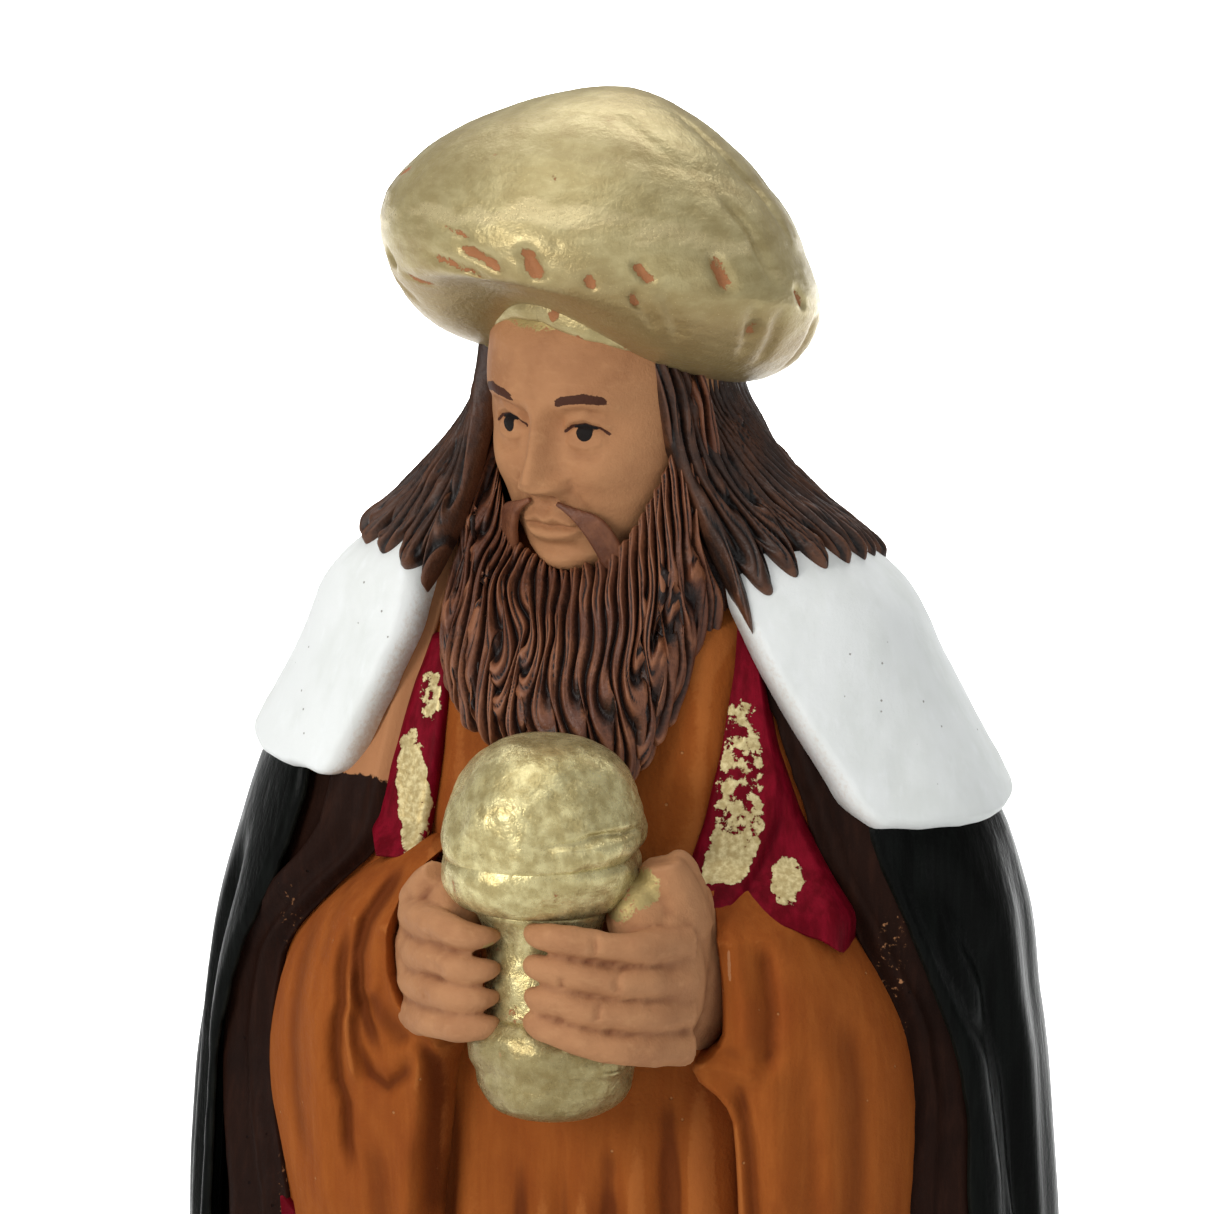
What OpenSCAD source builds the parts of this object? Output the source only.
// Standing king from a crib scene, holding a covered cup: a hand-painted solid casting.
// +Z is up, the figure faces -Y, and the origin is the middle of the plinth's underside.

/* [Plinth] */
// Width of the plinth, across the figure
plinth_w = 86; // [72:1:105]
// Depth of the plinth, front to back
plinth_d = 62; // [54:1:76]
// Height of the plinth
plinth_h = 6; // [4:0.5:12]
// Height of the plinth's stepped top edge
plinth_step = 1.5; // [1:0.25:3]

/* [Robe, lining and cloak] */
// Height of the clothed body, from the plinth to the top of the collar
body_h = 158; // [132:1:190]
// Width of the closed cloak at its widest
cloak_w = 80; // [66:1:96]
// Depth of the closed cloak at its deepest
cloak_d = 53; // [44:1:64]
// Thickness of the cloak
cloak_t = 1.8; // [1.5:0.1:2.2]
// Thickness of the cloak's lining
lining_t = 1.8; // [1.5:0.1:2.2]
// Width of the gap between the front edges of the lining, below the arms
opening_w = 62; // [52:1:72]
// Width of the band of lining that shows in front of the cloak
lining_band = 4; // [3:0.25:5]

/* [Coat panels] */
// Thickness of the coat's front panels
coat_t = 1; // [0.8:0.1:1.4]
// Width of a lapel at its lower end, on the figure's right
right_lapel_w = 6; // [5:0.5:7]
// Width of a lapel at its lower end, on the figure's left
left_lapel_w = 13; // [11:0.5:15]
// Width of the coat's lower panels, at the hem
coat_panel_w = 8; // [6.5:0.5:10]

/* [Cape] */
// Thickness of the shoulder cape
cape_t = 1.7; // [1.4:0.1:2.2]
// Height of the shoulder cape, from its hem to the collar
cape_h = 28; // [23:1:34]

/* [Head] */
// Height of the head, from chin to crown
head_h = 29; // [24:0.5:35]
// Width of the head
head_w = 21; // [17:0.5:25]
// Depth of the head
head_d = 24; // [20:0.5:29]
// Width of the neck
neck_w = 12; // [10:0.5:14.5]
// Turn of the head towards the figure's right
head_turn = 22; // [0:1:40]
// Nod of the head
head_nod = 9; // [0:1:18]

/* [Turban] */
// Width of the turban
turban_w = 40; // [34:0.5:48]
// Depth of the turban
turban_d = 41; // [35:0.5:49]
// Height of the turban
turban_h = 25; // [21:0.5:30]
// Backward tilt of the turban on the head
turban_tilt = 24; // [10:1:32]
// Thickness of the band under the turban
band_t = 1.2; // [1:0.1:1.6]

/* [Hair and beard] */
// Width of the hair where it lies on the shoulders
hair_w = 48; // [40:0.5:57]
// Width of the beard at its widest
beard_w = 25; // [21:0.5:30]
// Length of the beard below the chin
beard_h = 18; // [15:0.5:21]

/* [Arms and hands] */
// Distance between the outsides of the sleeves
sleeve_span = 62; // [52:1:72]
// Drop of the hanging sleeves below the hands
sleeve_drop = 42; // [34:1:50]
// Height of the middle of the hands above the plinth
hand_z = 121; // [100:1:140]
// Thickness of a finger
finger_d = 3; // [2.5:0.1:3.6]

/* [Cup] */
// Diameter of the lid
lid_d = 19.5; // [16:0.5:23]
// Height of the lid
lid_h = 10; // [8:0.5:12]
// Height of the bowl under the lid
bowl_h = 5.5; // [4.5:0.25:6.5]
// Diameter of the stem
stem_d = 10; // [8:0.5:12]
// Height of the stem
stem_h = 9.5; // [8:0.5:11.5]
// Diameter of the foot
foot_d = 15; // [12.5:0.5:18]
// Height of the foot
foot_h = 8.5; // [7:0.5:10]

/* [Shoes] */
// Width of a shoe
shoe_w = 13; // [11:0.5:15.5]
// Length of a shoe, mostly under the robe
shoe_l = 24; // [20:0.5:29]
// Height of a shoe
shoe_h = 8; // [6.5:0.5:9.5]

/* [Hidden] */

// Facets round the body, round a ball and round a turned piece
body_facets = 48;
ball_facets = 20;
finger_facets = 10;
$fn = 72;

collar_z = plinth_h + body_h;
cape_hem_z = collar_z - cape_h;
hand_level = plinth_h + hand_z;
// Clear distance between a lapel and the edge of the lining beside it
coat_seam = 0.35;
inner_cloak = cloak_t;
inner_lining = cloak_t + lining_t;

// The cloak's outline: share of body_h, share of half the width, share of half the depth, and how far
// the middle lies forward
cloak_outline = [
    [0.00, 0.97, 1.00, -1.0],
    [0.15, 0.99, 0.99, -1.0],
    [0.40, 1.00, 0.97, -1.0],
    [0.58, 0.99, 0.94, -1.0],
    [0.69, 0.96, 0.90, -0.8],
    [0.76, 0.93, 0.84, -0.4],
    [0.82, 0.865, 0.77, 0.0],
    [0.88, 0.765, 0.68, 0.4],
    [0.924, 0.645, 0.60, 0.9],
    [0.962, 0.505, 0.52, 1.5],
    [1.00, 0.36, 0.42, 2.2],
];

// The front gap's outline: share of body_h and share of half the gap's width
gap_outline = [
    [-0.01, 0.90], [0.42, 0.97], [0.61, 1.00], [0.73, 0.95], [0.81, 0.77],
    [0.867, 0.65], [0.911, 0.55], [0.956, 0.46], [1.03, 0.38],
];

// Middle of the head, and the height of the chin at rest under it
head_mid = [0, -4, collar_z + 0.32 * head_h];

// Middle of the cup's foot: the cup stands clear of the chest by its own stem
cup_mid = [0, -27, hand_level - 0.42 * (foot_h + stem_h + bowl_h + lid_h)];
stem_z = cup_mid[2] + foot_h;
bowl_z = stem_z + stem_h;
lid_z = bowl_z + bowl_h;

// Closed solid through level rings that all have the same number of points
module loft(rings) {
    count = len(rings[0]);
    last = len(rings) - 1;
    sides = [
        for (level = [0 : last - 1], i = [0 : count - 1])
            let (a = level * count + i, b = level * count + (i + 1) % count)
                each [[a, a + count, b + count], [a, b + count, b]]
    ];
    bottom = [for (i = [0 : count - 1]) i];
    top = [for (i = [count - 1 : -1 : 0]) last * count + i];
    polyhedron([for (ring = rings) each ring], concat([bottom], sides, [top]), convexity = 6);
}

// Level ellipse of half sizes a and b round the point middle
function ellipse_ring(middle, a, b, count = body_facets) =
    [for (i = [0 : count - 1])
        [middle[0] + a * cos(360 * i / count), middle[1] + b * sin(360 * i / count), middle[2]]];

// Keeps a sculpted form as one closed mesh: zeros leave its size alone
module sculpted() {
    resize([0, 0, 0]) children();
}

// Ball of three different half sizes
module oval_ball(middle, half, facets = ball_facets) {
    translate(middle) scale(half) sphere(1, $fn = facets);
}

// The clothed body, with every level drawn in by inset, and run on straight past both ends by over
module body_form(inset = 0, over = 0) {
    last = len(cloak_outline) - 1;
    ring = function (level, up) ellipse_ring(
        [0, -level[3], plinth_h + level[0] * body_h + up],
        level[1] * cloak_w / 2 - inset,
        level[2] * cloak_d / 2 - inset
    );
    rings = [for (level = cloak_outline) ring(level, 0)];
    loft(over == 0 ? rings : concat(
        [ring(cloak_outline[0], -over)], rings, [ring(cloak_outline[last], over)]
    ));
}

// The layer of the clothed body between two insets
module body_layer(outer, inner) {
    difference() {
        body_form(outer);
        body_form(inner, over = 1);
    }
}

// Block in front of the body, from an outline in x and z
module front_block(outline) {
    rotate([90, 0, 0]) linear_extrude(cloak_d) polygon(outline);
}

// The gap between the front edges of a layer, widened by grow on each side
module front_gap(grow = 0) {
    right = [for (level = gap_outline)
        [level[1] * opening_w / 2 + grow, level[0] * body_h + plinth_h]];
    left = [for (i = [len(right) - 1 : -1 : 0]) [-right[i][0], right[i][1]]];
    front_block(concat(right, left));
}

// One front panel of the coat: a strip whose outer edge lies under the lining
module coat_strip(side, low, high, low_w, high_w) {
    edge = function (z) lookup((z - plinth_h) / body_h, gap_outline) * opening_w / 2;
    heights = [for (i = [0 : 4]) low + (high - low) * i / 4];
    front_block(concat(
        [for (z = heights) [side * (edge(z) - coat_seam), z]],
        [for (i = [4 : -1 : 0])
            let (z = heights[i], width = low_w + (high_w - low_w) * i / 4)
                [side * (edge(z) - width), z]]
    ));
}

// Points of the arms: side is -1 for the figure's right arm and 1 for its left
function shoulder_at(side) = [side * (sleeve_span / 2 - 7), -1, collar_z - 0.17 * body_h];
function elbow_at(side) = [side * (sleeve_span / 2 - 11.5), -9, hand_level - 13];
function wrist_at(side) = [side * 14.5, cup_mid[1] + 5.5, hand_level];

module sleeve_form(side) {
    intersection() {
        whole_sleeve_form(side);
        union() {
            body_form(inner_lining);
            front_gap(-0.2);
        }
    }
}

module whole_sleeve_form(side) {
    hull() {
        oval_ball(shoulder_at(side), [8, 9, 10]);
        oval_ball(elbow_at(side), [10, 11, 13]);
    }
    hull() {
        oval_ball(elbow_at(side), [10, 11, 13]);
        oval_ball(wrist_at(side), [4.5, 5.5, 9.5]);
    }
    hull() {
        oval_ball(elbow_at(side), [9.5, 11, 13]);
        oval_ball(wrist_at(side) + [side * 2, 2, -5], [5, 4.5, 6]);
        oval_ball(elbow_at(side) + [side * -2, -3, -sleeve_drop + 8], [6, 6, 5]);
    }
}

// Four fingers wrapped round the stem and the back of the hand behind them
module hand_form(side) {
    grip = stem_d / 2 + finger_d / 2 + 1;
    tip = side < 0 ? 62 : 84;
    at = function (turn, z) [
        side * grip * cos(turn), cup_mid[1] - grip * sin(turn), z
    ];
    for (finger = [0 : 3]) {
        z = hand_level + (1.5 - finger) * finger_d;
        for (joint = [0 : 1]) hull() {
            translate(at(tip * joint / 2, z)) sphere(d = finger_d * 1.12, $fn = finger_facets);
            translate(at(tip * (joint + 1) / 2, z)) sphere(d = finger_d * 1.06, $fn = finger_facets);
        }
    }
    hull() {
        oval_ball(at(0, hand_level) + [side * 0.5, 0, 0], [2.8, 3.4, 2.1 * finger_d]);
        oval_ball(wrist_at(side) + [side * -1, -0.6, 0.5], [3.2, 3.8, 6.2]);
    }
    hull() {
        translate(at(18, hand_level + 2.3 * finger_d)) sphere(d = finger_d, $fn = finger_facets);
        translate(at(-10, hand_level + 2.2 * finger_d) + [side * 2, 0, 0])
            sphere(d = finger_d * 1.3, $fn = finger_facets);
    }
}

module cup_form() {
    cup_foot_form();
    cup_stem_form();
    cup_bowl_form();
    cup_lid_form();
}

// Foot: a rounded button below a turned groove
module cup_foot_form() {
    r = foot_d / 2;
    groove_z = 0.46 * foot_h;
    translate(cup_mid) rotate_extrude() polygon([
        [0, 0], [0.55 * r, 0], [0.78 * r, 0.10 * foot_h], [0.88 * r, 0.25 * foot_h],
        [0.90 * r, groove_z - 0.4], [0.85 * r, groove_z], [0.92 * r, groove_z + 0.4],
        [r, 0.80 * foot_h], [0.93 * r, foot_h], [0, foot_h],
    ]);
}

module cup_stem_form() {
    r = stem_d / 2;
    translate([cup_mid[0], cup_mid[1], stem_z]) rotate_extrude() polygon([
        [0, 0], [1.3 * r, 0], [1.06 * r, 0.2 * stem_h], [r, 0.4 * stem_h],
        [r, 0.7 * stem_h], [1.12 * r, stem_h], [0, stem_h],
    ]);
}

module cup_bowl_form() {
    r = lid_d / 2 - 0.7;
    translate([cup_mid[0], cup_mid[1], bowl_z]) rotate_extrude() polygon([
        [0, 0], [0.62 * r, 0], [0.82 * r, 0.3 * bowl_h], [0.95 * r, 0.65 * bowl_h],
        [r, bowl_h], [0, bowl_h],
    ]);
}

module cup_lid_form() {
    r = lid_d / 2;
    dome = [for (turn = [0 : 10 : 80]) [0.95 * r * cos(turn), 1.2 + (lid_h - 1.2) * sin(turn)]];
    translate([cup_mid[0], cup_mid[1], lid_z]) rotate_extrude() polygon(concat(
        [[0, 0], [r, 0], [r, 0.9]], dome, [[0.16 * r, lid_h], [0, lid_h]]
    ));
}

// Puts children into the head's own frame: the face looks along -Y before the turn
module on_head() {
    translate(head_mid) rotate([0, 0, -head_turn]) rotate([head_nod, 0, 0]) children();
}

module head_form() {
    on_head() {
        hull() {
            oval_ball([0, 1, 0.13 * head_h], [head_w / 2, head_d / 2 - 1, 0.37 * head_h], 24);
            oval_ball([0, -0.24 * head_d, -0.32 * head_h], [0.27 * head_w, 0.2 * head_d, 0.18 * head_h], 20);
        }
        hull() {
            oval_ball([0, -0.42 * head_d, 0.08 * head_h], [0.9, 1.2, 1]);
            oval_ball([0, -0.53 * head_d, -0.12 * head_h], [1.6, 1.3, 1]);
        }
    }
    translate([0, -1.5, collar_z]) cylinder(d = neck_w, h = head_mid[2] - collar_z);
}

// Puts children at the crown, in the turban's own tilted frame
module on_crown() {
    on_head() translate([0, 1.5, 0.34 * head_h]) rotate([-turban_tilt, 0, 0]) children();
}

// The puffed roll: widest a little below the middle and drawn in underneath
module turban_form() {
    profile = [
        [0.00, 0.62], [0.06, 0.80], [0.17, 0.93], [0.34, 1.00], [0.50, 0.95],
        [0.65, 0.84], [0.79, 0.68], [0.91, 0.46], [0.98, 0.22], [1.00, 0.08],
    ];
    on_crown() loft([for (level = profile)
        ellipse_ring(
            [0, -0.12 * turban_h * level[0], (level[0] - 0.3) * turban_h],
            level[1] * turban_w / 2, level[1] * turban_d / 2
        )]);
}

module band_form() {
    on_crown() translate([0, 2.2, -0.3 * turban_h - 1.6]) loft([
        ellipse_ring([0, 0, 0], head_w / 2 + band_t * 0.6, head_d / 2 + band_t * 0.6),
        ellipse_ring([0, 0, 1.2], head_w / 2 + band_t, head_d / 2 + band_t),
        ellipse_ring([0, 0, 3.4], head_w / 2 + band_t, head_d / 2 + band_t),
    ]);
}

// The hair: a bell round the head that opens over the shoulders
module hair_form() {
    levels = [
        [collar_z - 13, 0.60 * hair_w / 2, head_d / 2 + 2],
        [collar_z - 8, 0.88 * hair_w / 2, head_d / 2 + 4],
        [collar_z - 5.5, hair_w / 2, head_d / 2 + 5],
        [collar_z - 1, 0.81 * hair_w / 2, head_d / 2 + 3],
        [collar_z + 4, head_w / 2 + 3.2, head_d / 2 + 1.6],
        [head_mid[2] + 1.5, head_w / 2 + 1.8, head_d / 2 + 1.4],
        [head_mid[2] + 0.30 * head_h, head_w / 2 + 1.0, head_d / 2 + 1.0],
    ];
    difference() {
        union() {
            loft([for (level = levels) ellipse_ring([0, -0.79, level[0]], level[1], level[2])]);
            oval_ball([0, head_d / 2 + 0.5, collar_z - 10.4], [0.66 * hair_w / 2, 9, 10.7], 24);
        }
        // Clear of the face and the front of the chest
        on_head() translate([-head_w / 2 - 0.76, -head_d - 8, -head_h])
            cube([head_w + 1.4, head_d + 8.5, 2 * head_h]);
        translate([-head_w / 2 - 2.7, -head_d - 20, collar_z - 2 * head_h])
            cube([head_w + 5.4, head_d + 16, 2 * head_h]);
    }
}

module jaw_ball(side) {
    oval_ball([side * 0.37 * head_w, -0.22 * head_d, -0.32 * head_h], [2.6, 3.2, 3.2]);
}

// The beard: down both sides of the face from the ears, then one mass below the chin
module beard_form() {
    chin_z = head_mid[2] - 0.5 * head_h;
    half = beard_w / 2;
    for (side = [-1, 1]) on_head() hull() {
        oval_ball([side * 0.45 * head_w, -1, 0.02 * head_h], [1.6, 2.4, 2]);
        jaw_ball(side);
    }
    hull() {
        on_head() {
            jaw_ball(-1);
            jaw_ball(1);
            oval_ball([0, -0.36 * head_d, -0.44 * head_h], [3, 2.4, 2.4]);
        }
        oval_ball([-0.5, -11, chin_z - 2], [half, 8, 5]);
    }
    hull() {
        oval_ball([-0.5, -11, chin_z - 2], [half, 8, 5]);
        oval_ball([0, -15, chin_z - 0.62 * beard_h], [0.75 * half, 6.5, 5]);
    }
    hull() {
        oval_ball([0, -15, chin_z - 0.62 * beard_h], [0.75 * half, 6.5, 5]);
        oval_ball([0.3, -17, chin_z - beard_h + 3], [0.5 * half, 4.5, 3]);
    }
}

module moustache_form() {
    on_head() for (side = [-1, 1]) hull() {
        oval_ball([side * 0.17 * head_w, -0.44 * head_d, -0.20 * head_h], [0.8, 1.3, 0.8], 16);
        oval_ball([side * 0.29 * head_w, -0.36 * head_d, -0.42 * head_h], [1.3, 1.6, 1.6], 16);
    }
}

// All layers of cloth that hair and beard can lie on
module clothing_form() {
    body_form(inner_lining);
    right_lapel_form();
    left_lapel_form();
    difference() {
        body_form(-cape_t);
        front_gap(0);
        below_cape();
    }
    difference() {
        body_form(0);
        front_gap(0);
    }
}

// Everything lower than the hem of the cape
module below_cape() {
    translate([-cloak_w, -cloak_d, 0]) cube([2 * cloak_w, 2 * cloak_d, cape_hem_z]);
}

module coat_layer() {
    body_layer(inner_lining - coat_t, inner_lining);
}

module right_lapel_form() {
    intersection() {
        coat_layer();
        coat_strip(-1, hand_level + 4, collar_z - 12, right_lapel_w, 2.5);
    }
}

module left_lapel_form() {
    intersection() {
        coat_layer();
        coat_strip(1, hand_level + 1, collar_z - 10, left_lapel_w, 3);
    }
}

module coat_panel_form(side) {
    intersection() {
        coat_layer();
        coat_strip(side, plinth_h, hand_level - 32, coat_panel_w, coat_panel_w);
    }
}

module shoe_form(side) {
    translate([0, 0, plinth_h]) intersection() {
        hull() {
            oval_ball([side * 12, -cloak_d / 2 + shoe_w / 2 - 1, 0], [shoe_w / 2, shoe_w / 2, shoe_h]);
            oval_ball([side * 11, -cloak_d / 2 + shoe_l - shoe_w / 2, 0], [shoe_w / 2, shoe_w / 2, shoe_h]);
        }
        translate([-cloak_w, -cloak_w, 0]) cube([2 * cloak_w, 2 * cloak_w, shoe_h]);
    }
}

module arms_form() {
    for (side = [-1, 1]) {
        whole_sleeve_form(side);
        hand_form(side);
    }
    cup_form();
}

module plinth() {
    slab = function (inset) [plinth_w / 2 - plinth_d / 2, plinth_d / 2 - inset];
    color("olivedrab") for (tier = [
        [0, 0, plinth_h - plinth_step],
        [plinth_step, plinth_h - plinth_step, plinth_step],
    ]) {
        half_run = slab(tier[0])[0];
        r = slab(tier[0])[1];
        translate([0, 0, tier[1]]) {
            for (side = [-1, 1]) translate([side * half_run, 0, 0]) cylinder(r = r, h = tier[2]);
            translate([-half_run, -r, 0]) cube([2 * half_run, 2 * r, tier[2]]);
        }
    }
}

module shoe(side) {
    color("saddlebrown") sculpted() difference() {
        shoe_form(side);
        body_form(inner_lining);
    }
}

module robe() {
    color("peru") sculpted() difference() {
        body_form(inner_lining);
        arms_form();
        head_form();
    }
}

module lapel(side) {
    color("crimson") sculpted() difference() {
        if (side < 0) right_lapel_form(); else left_lapel_form();
        arms_form();
    }
}

module coat_panel(side) {
    color("crimson") sculpted() difference() {
        coat_panel_form(side);
        arms_form();
        shoe_form(side);
    }
}

module sleeve(side) {
    color("peru") sculpted() difference() {
        sleeve_form(side);
        hand_form(side);
        cup_form();
    }
}

module hand(side) {
    color("burlywood") sculpted() difference() {
        hand_form(side);
        cup_form();
    }
}

module cup_foot() {
    color("darkkhaki") cup_foot_form();
}

module cup_stem() {
    color("darkkhaki") cup_stem_form();
}

module cup_bowl() {
    color("darkkhaki") cup_bowl_form();
}

module cup_lid() {
    color("darkkhaki") cup_lid_form();
}

module cloak_lining() {
    color("saddlebrown") sculpted() difference() {
        body_layer(inner_cloak, inner_lining);
        front_gap(0);
    }
}

module cloak() {
    color("black") sculpted() difference() {
        body_layer(0, inner_cloak);
        front_gap(0);
        intersection() {
            front_gap(lining_band);
            below_cape();
        }
    }
}

module shoulder_cape() {
    color("white") sculpted() difference() {
        body_layer(-cape_t, 0);
        front_gap(0);
        below_cape();
    }
}

module head() {
    color("burlywood") sculpted() head_form();
}

module turban() {
    color("darkkhaki") sculpted() difference() {
        turban_form();
        head_form();
    }
}

module turban_band() {
    color("darkkhaki") sculpted() difference() {
        band_form();
        turban_form();
        head_form();
    }
}

module beard() {
    color("sienna") sculpted() difference() {
        beard_form();
        head_form();
        clothing_form();
        cup_form();
    }
}

module moustache() {
    color("sienna") sculpted() difference() {
        moustache_form();
        head_form();
        beard_form();
    }
}

module hair() {
    color("sienna") sculpted() difference() {
        hair_form();
        head_form();
        turban_form();
        band_form();
        beard_form();
        clothing_form();
    }
}

plinth();
shoe(-1);  // right_shoe
shoe(1);  // left_shoe
robe();
lapel(-1);  // right_lapel
lapel(1);  // left_lapel
coat_panel(-1);  // right_coat_panel
coat_panel(1);  // left_coat_panel
sleeve(-1);  // right_sleeve
sleeve(1);  // left_sleeve
hand(-1);  // right_hand
hand(1);  // left_hand
cup_foot();
cup_stem();
cup_bowl();
cup_lid();
cloak_lining();
cloak();
shoulder_cape();
head();
turban_band();
turban();
beard();
moustache();
hair();
